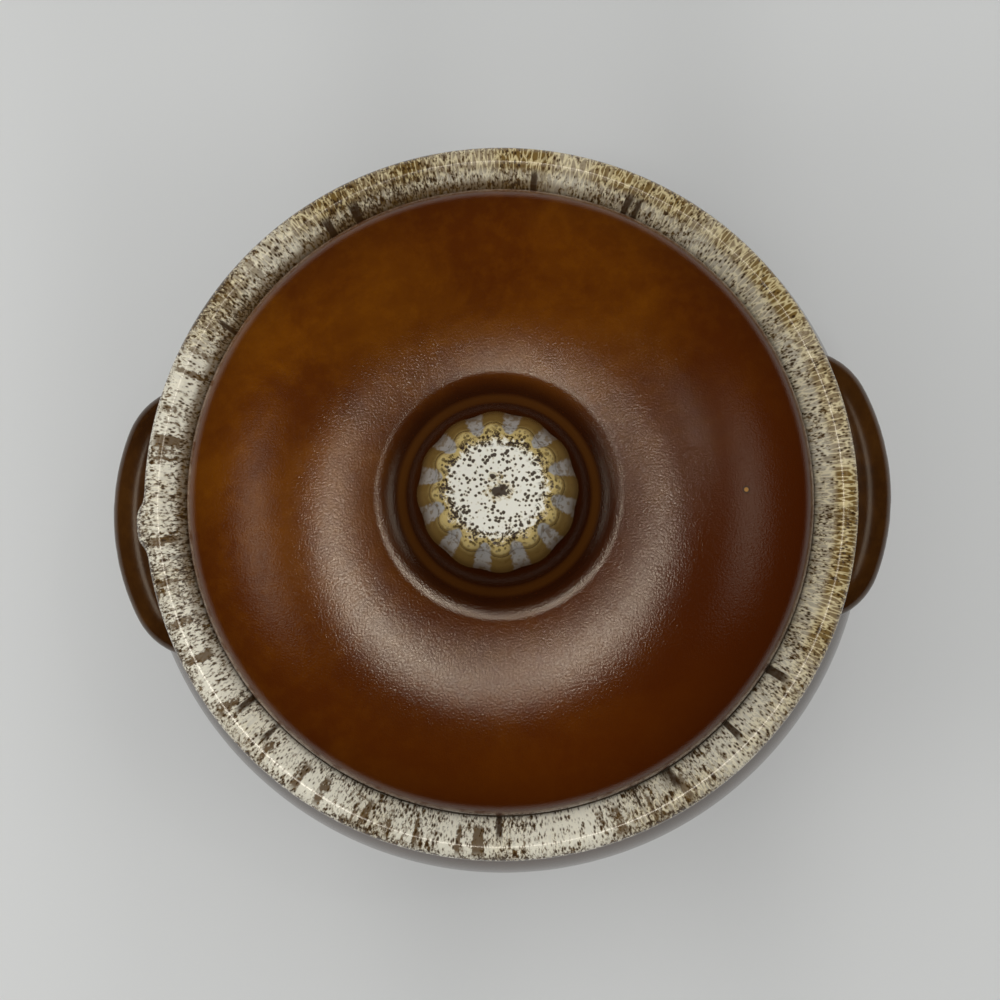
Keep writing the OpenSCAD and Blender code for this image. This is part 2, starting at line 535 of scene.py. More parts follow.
@dataclass(frozen=True)
class BrownGlaze:
    """Satin brown glaze: amber where it is thin, near black where it is thick."""

    name: str
    thick: Colour = (0.030, 0.009, 0.0014)
    thin: Colour = (0.066, 0.022, 0.0022)
    bronze: Colour = (1.0, 0.88, 0.70)
    gloss: float = 0.13
    gloss_loss: float = 0.06
    depth: float = 0.006
    cloud: Grain = Grain(16.0, 5.0, 0.6, 0.6)
    cloudy: Ramp = Ramp(0.32, 0.72, 0.0, 0.8)
    mottle: Grain = Grain(240.0, 4.0, 0.65)
    mottled: Ramp = Ramp(0.42, 0.68, 0.0, 0.25)
    fleck: Grain = Grain(900.0)
    flecked: Ramp = Ramp(0.08, 0.20, 0.3, 0.0)
    peel: Grain = Grain(2000.0, 2.0, 0.6)

    def material(self) -> bpy.types.Material:
        """Makes the glaze.

        Returns:
            A new material.
        """
        mix = Recipe(self.name)
        place = mix.place()
        flecks = mix.ramp(mix.spots(place, self.fleck), self.flecked)
        peel = mix.noise(place, self.peel)
        return mix.finish({
            "Base Color": mix.blend(flecks, self.stain(mix, place), self.thick),
            "Roughness": mix.ramp(peel, Ramp(*UNEVEN, self.gloss, self.gloss + self.gloss_loss)),
            "Normal": mix.bump(peel, self.depth),
            "IOR": GLASS,
            "Specular Tint": (*self.bronze, 1.0),
        })

    def stain(self, mix: Recipe, place: Socket) -> Socket:
        """Gives the colour of the glaze.

        Args:
            mix: Recipe that the colour is part of.
            place: Place on the piece.

        Returns:
            The colour.
        """
        clouds = mix.ramp(mix.noise(place, self.cloud), self.cloudy)
        mottles = mix.ramp(mix.noise(place, self.mottle), self.mottled)
        return mix.blend(mix.plus(clouds, mottles), self.thick, self.thin)


@dataclass(frozen=True)
class HandleGlaze(BrownGlaze):
    """Brown glaze on the handles: thinner and more clouded than on the pot."""

    thin: Colour = (0.075, 0.027, 0.004)
    cloud: Grain = Grain(30.0, 5.0, 0.6, 0.6)


@dataclass(frozen=True)
class LidGlaze(BrownGlaze):
    """Brown glaze on the lid: amber at the back, painted shade at the front and edge, pooled dark round the
    knob with painted shade.
    """

    thick: Colour = (0.094, 0.019, 0.0003)
    thin: Colour = (0.176, 0.049, 0.0004)
    front_shade: Colour = (0.076, 0.0125, 0.0001)
    pooled: Colour = (0.020, 0.004, 0.0006)
    cove_reflection: Colour = (0.085, 0.027, 0.003)
    bare: Colour = (0.42, 0.19, 0.03)
    gloss: float = 0.12
    depth: float = 0.06
    cloud: Grain = Grain(34.0, 5.0, 0.6, 0.6)
    drift: Grain = Grain(9.0, 3.0, 0.5)
    # From the back left to the front right, where painted shade makes the lid darker and redder
    back_left: Triple = (-0.61566, 0.78801, 0.0)
    shades_to_front: Ramp = Ramp(0.035, -0.055)
    front_shade_patches: Ramp = Ramp(0.25, 0.6, 0.6, 1.0)
    # Painted shade towards the lid's edge, and on its top side glaze pooled dark round the knob with painted
    # shade from under it
    edge_shade: Ramp = Ramp(0.066, 0.082, 0.0, 0.3)
    top_side: Ramp = Ramp(0.1285, 0.1300)
    # The pool is partly painted shade and painted dark reflection from under the knob
    pool: Ramp = Ramp(0.0265, 0.034, 0.9, 0.0)
    # Amber ring in the cove: a painted reflection of the lid's shoulder, in patches
    ring_in: Ramp = Ramp(0.0228, 0.0240)
    ring_out: Ramp = Ramp(0.0248, 0.0262, 1.0, 0.0)
    ring_patches: Ramp = Ramp(0.3, 0.6, 0.5, 1.0)
    # Step from the pinhole in the glaze to the middle, its dark rim and the bare clay in it
    from_pinhole: Triple = (-0.0628, 0.0021, 0.0)
    hole_rim: Ramp = Ramp(0.0008, 0.0012, 0.8, 0.0)
    hole_bare: Ramp = Ramp(0.0004, 0.0007, 1.0, 0.0)

    def stain(self, mix: Recipe, place: Socket) -> Socket:
        """Gives the colour of the glaze.

        Args:
            mix: Recipe that the colour is part of.
            place: Place on the piece.

        Returns:
            The colour.
        """
        drift = mix.noise(place, self.drift)
        out = mix.from_axis(place)
        top = mix.ramp(mix.axis(place, "Z"), self.top_side)
        hole = mix.from_axis(mix.moved(place, self.from_pinhole))
        # Painted shade: the front right is darker and redder, away from the light
        front = mix.ramp(mix.towards(place, self.back_left), self.shades_to_front)
        # Ring of painted reflection in the cove, on the top side only
        ring = mix.times(mix.band(out, self.ring_in, self.ring_out), top)
        colour = super().stain(mix, place)
        # Over the glaze: painted shade at front and edge, pooled glaze and painted shade round the knob, the
        # cove's painted reflection, the pinhole
        for share, tint in (
            (mix.times(front, mix.ramp(drift, self.front_shade_patches)), self.front_shade),
            (mix.ramp(out, self.edge_shade), self.pooled),
            (mix.times(mix.ramp(out, self.pool), top), self.pooled),
            (mix.times(ring, mix.ramp(drift, self.ring_patches)), self.cove_reflection),
            (mix.ramp(hole, self.hole_rim), self.pooled),
            (mix.ramp(hole, self.hole_bare), self.bare),
        ):
            colour = mix.blend(share, colour, tint)
        return colour


class RimPlace(NamedTuple):
    """Where a point of the drip glaze lies: along the lip and down the flow, and on which side of the pot."""

    flow: Socket
    along: Socket
    right: Socket
    back_right: Socket
    back_left: Socket
    drift: Socket


@dataclass(frozen=True)
class IvoryGlaze:
    """Ivory drip glaze that has flowed: streaks, freckles and drips of the brown under it show through."""

    name: str = "ivory drip glaze"
    ivory: Colour = (0.91, 0.86, 0.71)
    cream: Colour = (0.68, 0.55, 0.29)
    honey: Colour = (0.200, 0.120, 0.032)
    amber: Colour = (0.150, 0.080, 0.018)
    rust: Colour = (0.100, 0.050, 0.013)
    brown: Colour = (0.042, 0.019, 0.006)
    sheen: Colour = (1.0, 0.93, 0.80)
    gloss: float = 0.18
    mirror: float = 0.42
    depth: float = 0.006
    # Sides of the pot, and slow unevenness round the lip
    to_back_right: Triple = (0.7, 0.7, 0.0)
    to_back_left: Triple = (-0.7, 0.7, 0.0)
    left_share: Ramp = Ramp(0.0, 0.07)
    front_share: Ramp = Ramp(0.045, 0.0)
    drift: Grain = Grain(30.0, 3.0, 0.6, draw=0.05)
    # Amber cells, mostly at the back right and out on the crest of the lip
    cell: Grain = Grain(820.0, draw=0.26)
    cell_wall: Ramp = Ramp(0.03, 0.17)
    warm_side: Ramp = Ramp(-0.06, 0.06, 0.08, 0.75)
    warm_drift: Ramp = Ramp(0.42, 0.66, 0.0, 0.4)
    crest: Ramp = Ramp(0.0050, 0.0085)
    crest_share: Ramp = Ramp(0.0, 1.0, 0.6, 1.0)
    # Rusty bars, mostly at the front left, and an inner edge at the back left that is rusty and also painted
    # darker as shade from the lid
    bar: Grain = Grain(250.0, 1.0, 0.5, 0.2, 0.09)
    bar_fray: Grain = Grain(800.0, 2.0, 0.6)
    bar_ragged: float = 0.05
    bar_more: Ramp = Ramp(0.03, -0.05, 0.0, 0.03)
    bar_edge: Ramp = Ramp(0.60, 0.68)
    bar_share: Ramp = Ramp(0.02, -0.05, 0.5, 0.9)
    bar_start: Ramp = Ramp(0.0034, 0.0050)
    bar_end: Ramp = Ramp(0.0100, 0.0130, 1.0, 0.0)
    inner_edge_rust_and_shade: Ramp = Ramp(0.0030, 0.0054, 0.8, 0.0)
    # Where the freckles are dense; out on the front of the roll they are also painted shade
    curd: Grain = Grain(1400.0, 3.0, 0.6, 0.5, 0.6)
    clear: Grain = Grain(70.0, 2.0, 0.5, draw=0.5)
    dense_left: Ramp = Ramp(0.07, -0.07, -0.05, 0.005)
    dense_drift: Ramp = Ramp(0.35, 0.65, -0.02, 0.05)
    dense_clear: Ramp = Ramp(0.35, 0.62, -0.09, 0.015)
    dense_inmost: Ramp = Ramp(0.0040, 0.0085, 0.05, 0.0)
    dense_outmost_and_shade: Ramp = Ramp(0.0086, 0.0120, 0.0, 0.05)
    # Freckles: winding ones, large ones and dots, each with a soft halo round a dark core; winding ones grow
    # denser out on the roll, partly as painted shade
    worm_inmost: Ramp = Ramp(0.0028, 0.0062, 0.045, 0.0)
    worm_outmost_and_shade: Ramp = Ramp(0.0100, 0.0145, 0.0, 0.09)
    worm_halo: Ramp = Ramp(0.49, 0.61, 0.0, 0.55)
    worm_core: Ramp = Ramp(0.59, 0.665, 0.0, 0.92)
    large: Grain = Grain(400.0, draw=0.6)
    large_rare: Ramp = Ramp(0.35, 0.6, 0.16, -0.06)
    large_halo: Ramp = Ramp(0.20, 0.36, 0.7, 0.0)
    large_core: Ramp = Ramp(0.12, 0.22, 0.95, 0.0)
    dot: Grain = Grain(1150.0, draw=0.55)
    dot_patch: Grain = Grain(160.0, 2.0, 0.5)
    dot_rare: Ramp = Ramp(*UNEVEN, 0.16, -0.12)
    dot_halo: Ramp = Ramp(0.22, 0.48, 0.5, 0.0)
    dot_core: Ramp = Ramp(0.13, 0.30, 0.92, 0.0)
    # Brown drops at the inner edge, and brown where the glaze has run thin
    drop: Grain = Grain(150.0, 1.0, 0.5, 0.3, 0.06)
    drop_dark: Ramp = Ramp(0.655, 0.69, 0.0, 0.95)
    drop_end: Ramp = Ramp(0.0055, 0.0085, 1.0, 0.0)
    run_thin: Ramp = Ramp(0.15, 0.7, 0.9, 0.0)

    def material(self) -> bpy.types.Material:
        """Makes the glaze, which reads flow and thickness from the piece.

        Returns:
            A new material.
        """
        mix = Recipe(self.name)
        at = self.where(mix)
        curd = mix.noise(at.flow, self.curd)
        colour = self.streaks(mix, at)
        # Inner edge at the back left: rust, and painted shade from the lid
        inner = mix.times(mix.ramp(at.along, self.inner_edge_rust_and_shade), at.back_left)
        colour = mix.blend(inner, colour, self.rust)
        colour = self.freckles(mix, at, self.dense(mix, at, curd), colour)
        drop = mix.ramp(mix.noise(at.flow, self.drop), self.drop_dark)
        colour = mix.blend(mix.times(drop, mix.ramp(at.along, self.drop_end)), colour, self.brown)
        return mix.finish({
            "Base Color": mix.blend(mix.ramp(mix.read("thick"), self.run_thin), colour, self.brown),
            "Roughness": self.gloss,
            "Specular IOR Level": self.mirror,
            "Specular Tint": (*self.sheen, 1.0),
            "IOR": GLASS,
            "Normal": mix.bump(curd, self.depth),
        })

    def where(self, mix: Recipe) -> RimPlace:
        """Reads where a point of the glaze lies.

        Args:
            mix: Recipe that reads it.

        Returns:
            The place along the lip, down the flow and on the sides of the pot.
        """
        flow = mix.read("flow", "Vector")
        return RimPlace(
            flow=flow,
            along=mix.axis(flow, "Z"),
            right=mix.axis(flow, "X"),
            back_right=mix.towards(flow, self.to_back_right),
            back_left=mix.ramp(mix.towards(flow, self.to_back_left), self.left_share),
            drift=mix.noise(flow, self.drift),
        )

    def streaks(self, mix: Recipe, at: RimPlace) -> Socket:
        """Gives the colour of the flowed glaze: amber cells on one side, rusty bars on the other.

        Args:
            mix: Recipe that the colour is part of.
            at: Place in the glaze.

        Returns:
            The colour.
        """
        warm = mix.plus(mix.ramp(at.back_right, self.warm_side), mix.ramp(at.drift, self.warm_drift))
        worked = mix.times(warm, mix.ramp(mix.ramp(at.along, self.crest), self.crest_share))
        cell = mix.blend(mix.ramp(mix.walls(at.flow, self.cell), self.cell_wall), self.cream, self.honey)
        fray = mix.ragged(mix.noise(at.flow, self.bar_fray), self.bar_ragged)
        bar = mix.plus(mix.noise(at.flow, self.bar), fray)
        bar = mix.plus(bar, mix.ramp(at.back_right, self.bar_more))
        bars = mix.times(mix.ramp(bar, self.bar_edge), mix.ramp(at.back_right, self.bar_share))
        bars = mix.times(bars, mix.band(at.along, self.bar_start, self.bar_end))
        return mix.blend(bars, mix.blend(worked, self.ivory, cell), self.rust)

    def dense(self, mix: Recipe, at: RimPlace, curd: Socket) -> Socket:
        """Raises the fine unevenness of the glaze where freckles are dense.

        Args:
            mix: Recipe that the value is part of.
            at: Place in the glaze.
            curd: Fine unevenness of the glaze.

        Returns:
            The raised value.
        """
        value = curd
        for more in (
            mix.ramp(at.right, self.dense_left),
            mix.ramp(at.drift, self.dense_drift),
            mix.ramp(mix.noise(at.flow, self.clear), self.dense_clear),
            mix.times(mix.ramp(at.along, self.dense_inmost), at.back_left),
            # Out on the front of the roll: denser freckles that are partly painted shade
            mix.times(mix.ramp(at.along, self.dense_outmost_and_shade), mix.ramp(at.back_right, self.front_share)),
        ):
            value = mix.plus(value, more)
        return value

    def freckles(self, mix: Recipe, at: RimPlace, dense: Socket, colour: Socket) -> Socket:
        """Lays the freckles of the brown glaze over a colour.

        Args:
            mix: Recipe that the colour is part of.
            at: Place in the glaze.
            dense: Fine unevenness of the glaze, raised where the freckles are dense.
            colour: Colour that they lie on.

        Returns:
            The freckled colour.
        """
        worms = mix.plus(dense, mix.ramp(at.along, self.worm_inmost))
        # Out on the roll: more winding freckles, partly painted shade
        worms = mix.plus(worms, mix.ramp(at.along, self.worm_outmost_and_shade))
        large = mix.shifted(mix.spots(at.flow, self.large), mix.ramp(dense, self.large_rare))
        patch = mix.noise(at.flow, self.dot_patch)
        dots = mix.shifted(mix.spots(at.flow, self.dot), mix.ramp(patch, self.dot_rare))
        for value, halo, core in (
            (worms, self.worm_halo, self.worm_core),
            (large, self.large_halo, self.large_core),
            (dots, self.dot_halo, self.dot_core),
        ):
            colour = mix.blend(mix.ramp(value, halo), colour, self.amber)
            colour = mix.blend(mix.ramp(value, core), colour, self.brown)
        return colour


@dataclass(frozen=True)
class KnobGlaze:
    """Ivory glaze on the knob: freckled on top, amber on the ribs and pooled blue-white in the flutes."""

    name: str = "ivory knob glaze"
    ivory: Colour = (0.92, 0.88, 0.76)
    yellow: Colour = (0.54, 0.40, 0.15)
    amber: Colour = (0.155, 0.090, 0.024)
    honey: Colour = (0.20, 0.125, 0.036)
    pooled: Colour = (0.41, 0.39, 0.36)
    brown: Colour = (0.034, 0.015, 0.005)
    mirror: float = 0.2
    gloss: Ramp = Ramp(0.36, 0.48, 0.5, 0.13)
    depth: float = 0.03
    curd: Grain = Grain(620.0, 4.0, 0.65, 0.5)
    # Ribs: yellow beads with an amber line under them, then honey that darkens downwards, partly as thin
    # glaze and partly as painted shade
    rib_down: Ramp = Ramp(0.52, 0.61)
    rib_curd: Ramp = Ramp(0.50, 0.68, 0.0, 0.8)
    line_start: Ramp = Ramp(0.52, 0.545)
    line_end: Ramp = Ramp(0.55, 0.58, 0.7, 0.0)
    rib_thin_glaze_and_shade: Ramp = Ramp(0.57, 0.72, 0.0, 0.75)
    # Flutes with runs in their pools, darkening downwards partly as thin glaze and partly as painted shade,
    # and the brown lower edge of ribs and flutes
    run: Grain = Grain(900.0, 2.0, 0.5, draw=0.25)
    run_dark: Ramp = Ramp(0.50, 0.64, 0.0, 0.6)
    pool_thin_glaze_and_shade: Ramp = Ramp(0.58, 0.74, 0.0, 0.5)
    flute_ragged: float = 0.12
    flute_edge: Ramp = Ramp(0.42, 0.66)
    low_edge: Ramp = Ramp(0.64, 0.74, 0.0, 0.7)
    # Ragged edge of the ivory top, with brown dapples along it
    top_ragged: float = 0.05
    top_edge: Ramp = Ramp(0.37, 0.42)
    dapple_start: Ramp = Ramp(0.33, 0.39)
    dapple_end: Ramp = Ramp(0.43, 0.50, 1.0, 0.0)
    dapple_curd: Ramp = Ramp(0.50, 0.58)
    # Freckles on the top, uneven in size
    freckle: Grain = Grain(960.0, draw=0.1)
    freckle_ragged: float = 0.14
    freckle_patch: Grain = Grain(300.0, 1.0)
    freckle_rare: Ramp = Ramp(*UNEVEN, -0.13, 0.07)
    freckle_down: Ramp = Ramp(0.42, 0.60, 1.0, 0.0)
    freckle_halo: Ramp = Ramp(0.30, 0.46, 0.4, 0.0)
    freckle_core: Ramp = Ramp(0.25, 0.36, 0.95, 0.0)
    # Dark spots near the middle: the step from each to the middle and its size
    spots: tuple[tuple[Triple, float], ...] = (
        ((-0.0006, 0.0007, 0.0), 0.0019),
        ((0.0004, -0.0028, 0.0), 0.0009),
    )
    spot_stretch: Triple = (0.75, 1.2, 1.0)
    spot_ragged: float = 0.0009
    spot_halo: Point = (0.0009, 0.45)
    spot_core: Point = (0.0006, 0.95)

    def material(self) -> bpy.types.Material:
        """Makes the glaze, which reads flutes and distance down from the piece.

        Returns:
            A new material.
        """
        mix = Recipe(self.name)
        place = mix.place()
        down = mix.read("down")
        curd = mix.noise(place, self.curd)
        colour = self.top(mix, down, curd, self.side(mix, place, down, curd))
        colour = self.freckles(mix, place, down, curd, colour)
        return mix.finish({
            "Base Color": self.middle(mix, place, curd, colour),
            "Roughness": mix.ramp(down, self.gloss),
            "Specular IOR Level": self.mirror,
            "Normal": mix.bump(curd, self.depth),
        })

    def side(self, mix: Recipe, place: Socket, down: Socket, curd: Socket) -> Socket:
        """Gives the colour of the ribs and flutes.

        Args:
            mix: Recipe that the colour is part of.
            place: Place on the knob.
            down: Distance down from the middle of the top.
            curd: Fine unevenness of the glaze.

        Returns:
            The colour.
        """
        rib = mix.blend(mix.ramp(down, self.rib_down), self.yellow, self.honey)
        line = mix.band(down, self.line_start, self.line_end)
        # The last step darkens the ribs downwards: thin glaze and painted shade
        for share in (mix.ramp(curd, self.rib_curd), line, mix.ramp(down, self.rib_thin_glaze_and_shade)):
            rib = mix.blend(share, rib, self.amber)
        pool = mix.blend(mix.ramp(mix.noise(place, self.run), self.run_dark), self.pooled, self.amber)
        # The flutes darken downwards: thin glaze and painted shade
        pool = mix.blend(mix.ramp(down, self.pool_thin_glaze_and_shade), pool, self.amber)
        flute = mix.plus(mix.read("flute"), mix.ragged(curd, self.flute_ragged))
        colour = mix.blend(mix.ramp(flute, self.flute_edge), rib, pool)
        return mix.blend(mix.ramp(down, self.low_edge), colour, self.brown)

    def top(self, mix: Recipe, down: Socket, curd: Socket, side: Socket) -> Socket:
        """Lays the ivory top over the colour of the sides.

        Args:
            mix: Recipe that the colour is part of.
            down: Distance down from the middle of the top.
            curd: Fine unevenness of the glaze.
            side: Colour of the sides.

        Returns:
            The colour.
        """
        edge = mix.shifted(down, mix.ragged(curd, self.top_ragged))
        colour = mix.blend(mix.ramp(edge, self.top_edge), self.ivory, side)
        dapple = mix.band(down, self.dapple_start, self.dapple_end)
        return mix.blend(mix.times(dapple, mix.ramp(curd, self.dapple_curd)), colour, self.brown)

    def freckles(self, mix: Recipe, place: Socket, down: Socket, curd: Socket, colour: Socket) -> Socket:
        """Lays the freckles over a colour.

        Args:
            mix: Recipe that the colour is part of.
            place: Place on the knob.
            down: Distance down from the middle of the top.
            curd: Fine unevenness of the glaze.
            colour: Colour that they lie on.

        Returns:
            The freckled colour.
        """
        freckle = mix.shifted(mix.spots(place, self.freckle), mix.ragged(curd, self.freckle_ragged))
        freckle = mix.shifted(freckle, mix.ramp(mix.noise(place, self.freckle_patch), self.freckle_rare))
        top = mix.ramp(down, self.freckle_down)
        for ramp, tint in ((self.freckle_halo, self.yellow), (self.freckle_core, self.brown)):
            colour = mix.blend(mix.times(mix.ramp(freckle, ramp), top), colour, tint)
        return colour

    def middle(self, mix: Recipe, place: Socket, curd: Socket, colour: Socket) -> Socket:
        """Lays the dark spots of the middle over a colour.

        Args:
            mix: Recipe that the colour is part of.
            place: Place on the knob.
            curd: Fine unevenness of the glaze.
            colour: Colour that they lie on.

        Returns:
            The spotted colour.
        """
        fray = mix.ragged(curd, self.spot_ragged)
        halo, halo_share = self.spot_halo
        core, core_share = self.spot_core
        for step, size in self.spots:
            spot = mix.from_axis(mix.stretched(mix.moved(place, step), self.spot_stretch))
            spot = mix.shifted(spot, fray)
            colour = mix.blend(mix.ramp(spot, Ramp(size, size + halo, halo_share, 0.0)), colour, self.yellow)
            colour = mix.blend(mix.ramp(spot, Ramp(size - core, size, core_share, 0.0)), colour, self.brown)
        return colour


@dataclass(frozen=True)
class BareClay:
    """Unglazed fired stoneware, where the pot stands and where the lid sits."""

    name: str = "bare stoneware"
    light: Colour = (0.47, 0.37, 0.25)
    dark: Colour = (0.30, 0.21, 0.13)
    dull: float = 0.85
    depth: float = 0.08
    grog: Grain = Grain(700.0, 4.0, 0.7)
    grog_dark: Ramp = Ramp(0.35, 0.7)

    def material(self) -> bpy.types.Material:
        """Makes the clay.

        Returns:
            A new material.
        """
        mix = Recipe(self.name)
        grog = mix.noise(mix.place(), self.grog)
        return mix.finish({
            "Base Color": mix.blend(mix.ramp(grog, self.grog_dark), self.light, self.dark),
            "Roughness": self.dull,
            "Normal": mix.bump(grog, self.depth),
        })


# The pot


@dataclass
class Pot:
    """The jar: foot ring, belly, shoulder, lip and the ledge that carries the lid."""

    height: float = 116.0
    belly: float = 106.5
    belly_up: float = 56.0
    foot: float = 73.0
    foot_wide: float = 8.0
    foot_up: float = 4.0
    wall: float = 6.0
    base: float = 7.0
    lip: float = 95.0
    roll: float = 4.6
    # Angle on the roll, below level, at which the neck starts
    roll_under: float = -60.0
    lip_wide: float = 11.5
    lip_fall: float = 2.6
    overhang: float = 3.5
    neck_drop: float = 13.0
    recess: float = 8.0
    ledge_wide: float = 8.5
    ledge_thick: float = 4.0
    # Height below the ledge at which its underside has run out into the wall
    ledge_taper: float = 9.0
    glaze: float = 0.7
    bevel: float = 1.0
    # How nearly straight up or down a flat face looks, and how near to the ledge's height it lies
    flat: float = 0.9
    near: float = 0.1
    # Steps in the outline's stretches and round the axis
    roll_steps: int = 20
    lip_steps: int = 8
    shoulder_steps: int = 30
    belly_steps: int = 40
    inner_shoulder_steps: int = 24
    inner_belly_steps: int = 30
    base_steps: int = 6
    turns: int = 256

    @property
    def recess_out(self) -> float:
        """Radius of the recess that the lid lies in."""
        return self.lip - self.lip_wide

    @property
    def ledge_up(self) -> float:
        """Height of the ledge that the lid lies on."""
        return self.height - self.recess

    @property
    def throat(self) -> float:
        """Radius of the opening inside the ledge."""
        return self.recess_out - self.ledge_wide

    @property
    def neck(self) -> Point:
        """Place where the shoulder meets the lip."""
        return (self.lip - self.overhang, self.height - self.neck_drop)

    @property
    def shoulder_round(self) -> float:
        """Radius of the arc that is upright at the belly and runs through the neck."""
        inwards, upwards = self.belly - self.neck[0], self.neck[1] - self.belly_up
        return (inwards * inwards + upwards * upwards) / (2.0 * inwards)

    @property
    def shoulder_centre(self) -> Point:
        """Centre of the shoulder's arc."""
        return (self.belly - self.shoulder_round, self.belly_up)

    def lip_outline(self) -> list[Point]:
        """Draws the outside of the lip under its glaze.

        Returns:
            The line from the neck up and over to the recess.
        """
        centre = (self.lip - self.roll, self.height - self.roll)
        over = arc(centre, self.roll - self.glaze, self.roll_under, UP, self.roll_steps)
        edge = (self.recess_out, self.height - self.lip_fall - self.glaze)
        return over + straight(over[-1], edge, self.lip_steps)

    def shoulder_outline(self) -> list[Point]:
        """Outside of the pot from the belly up to the neck."""
        neck_turn = math.degrees(math.asin((self.neck[1] - self.belly_up) / self.shoulder_round))
        return arc(self.shoulder_centre, self.shoulder_round, LEVEL, neck_turn, self.shoulder_steps)

    def surface(self, up: float) -> float:
        """Gives the radius of the shoulder at a height."""
        return self.shoulder_centre[0] + math.sqrt(self.shoulder_round**2 - (up - self.belly_up) ** 2)

    def outline(self) -> list[Point]:
        """Draws the section of the wall.

        Returns:
            The line from the middle of the base out to the foot, up the outside and down the inside.
        """
        inside = self.shoulder_round - self.wall
        under_ledge = math.degrees(math.asin((self.ledge_up - self.ledge_taper - self.belly_up) / inside))
        base_up = self.foot_up + self.base
        inner_foot = self.foot - self.foot_wide
        bulge = self.belly - self.foot
        turn_at = (self.foot, self.belly_up)
        return [
            (0.0, self.foot_up),
            *straight((0.0, self.foot_up), (inner_foot, self.foot_up), self.base_steps),
            (inner_foot, self.bevel),
            (inner_foot + self.bevel, 0.0),
            (self.foot - self.bevel, 0.0),
            (self.foot, self.bevel),
            *oval(turn_at, bulge, self.belly_up - self.foot_up, DOWN, LEVEL, self.belly_steps)[:-1],
            *self.shoulder_outline(),
            *self.lip_outline(),
            (self.recess_out, self.ledge_up),
            (self.throat, self.ledge_up),
            (self.throat, self.ledge_up - self.ledge_thick),
            *arc(self.shoulder_centre, inside, under_ledge, LEVEL, self.inner_shoulder_steps)[:-1],
            *oval(turn_at, bulge - self.wall, self.belly_up - base_up, LEVEL, DOWN, self.inner_belly_steps),
            *straight((self.foot, base_up), (0.0, base_up), self.base_steps),
        ]

    def build(self) -> Piece:
        """Turns the wall of the pot.

        Returns:
            The pot, with its glaze and its bare foot and ledge.
        """
        piece = turned("pot_wall", self.outline(), self.turns)
        self.dress(piece)
        return piece

    def dress(self, piece: Piece) -> None:
        """Glazes the pot brown, and leaves the foot and the ledge bare.

        Args:
            piece: The pot.
        """
        smooth(piece)
        piece.data.materials.append(BrownGlaze("brown glaze on the pot").material())
        piece.data.materials.append(BareClay().material())
        for face in piece.data.polygons:
            by_ledge = abs(face.center.z - self.ledge_up * MM) < self.near * MM
            on_ledge = by_ledge and abs(face.normal.z) > self.flat
            on_foot = face.center.z < self.bevel * MM
            face.material_index = 1 if on_ledge or on_foot else 0
        settle(piece, Body.POT, Slot.BROWN, "pot_body")


